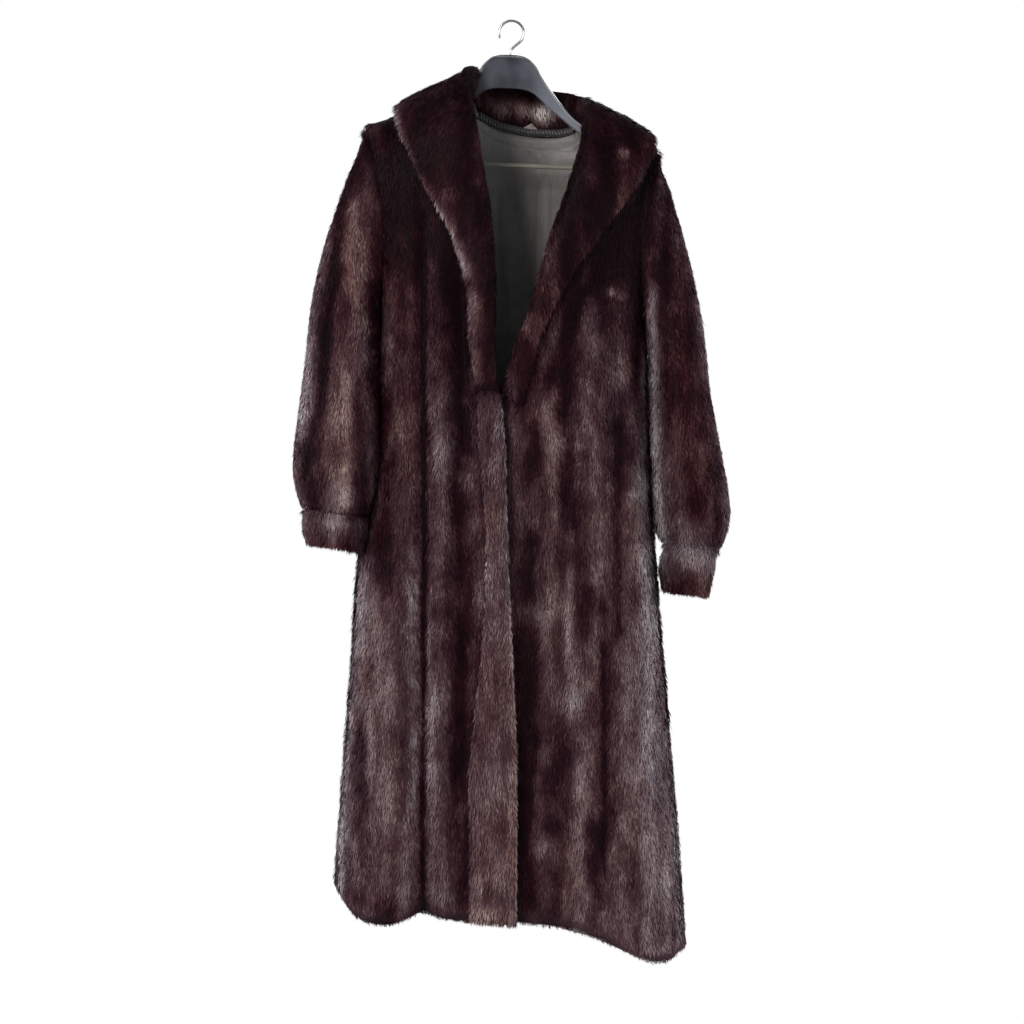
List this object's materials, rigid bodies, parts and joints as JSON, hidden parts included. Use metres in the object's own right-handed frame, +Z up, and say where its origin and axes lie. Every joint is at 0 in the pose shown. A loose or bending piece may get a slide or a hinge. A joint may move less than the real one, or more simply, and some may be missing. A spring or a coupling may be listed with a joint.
{
  "type": "fur coat on hanger",
  "caption": "Full-length dark fur coat with a wide shawl collar, front border, gathered sleeves with cuffs and satin back lining, hung on a contoured hanger with bar and wire hook.",
  "frame": {"origin": "inside top of the hanger hook's bend, where a rail carries it", "axes": "+Z up; the coat faces -Y; -X is the wearer's right side"},
  "size_m": [0.647, 0.2161, 1.3871],
  "materials": {
    "mink_fur": "dense glossy pile, very dark brown",
    "lining_satin": "soft satin, grey brown",
    "gimp_cord": "twisted cord, near black",
    "pale_ribbon": "woven ribbon, plain",
    "black_plastic": "moulded, glossy",
    "polished_steel": "polished wire"
  },
  "bodies": {
    "root": {"back": "mink_fur", "front_right": "mink_fur", "front_left": "mink_fur", "front_band": "mink_fur", "sleeve_right": "mink_fur", "sleeve_left": "mink_fur", "cuff_right": "mink_fur", "cuff_left": "mink_fur", "collar_right": "mink_fur", "collar_left": "mink_fur", "lining_back": "lining_satin", "neck_cord": "gimp_cord", "neck_tab": "pale_ribbon", "hanger_body": "black_plastic", "hanger_bar": "black_plastic", "hanger_hook": "polished_steel"}
  },
  "joints": []
}
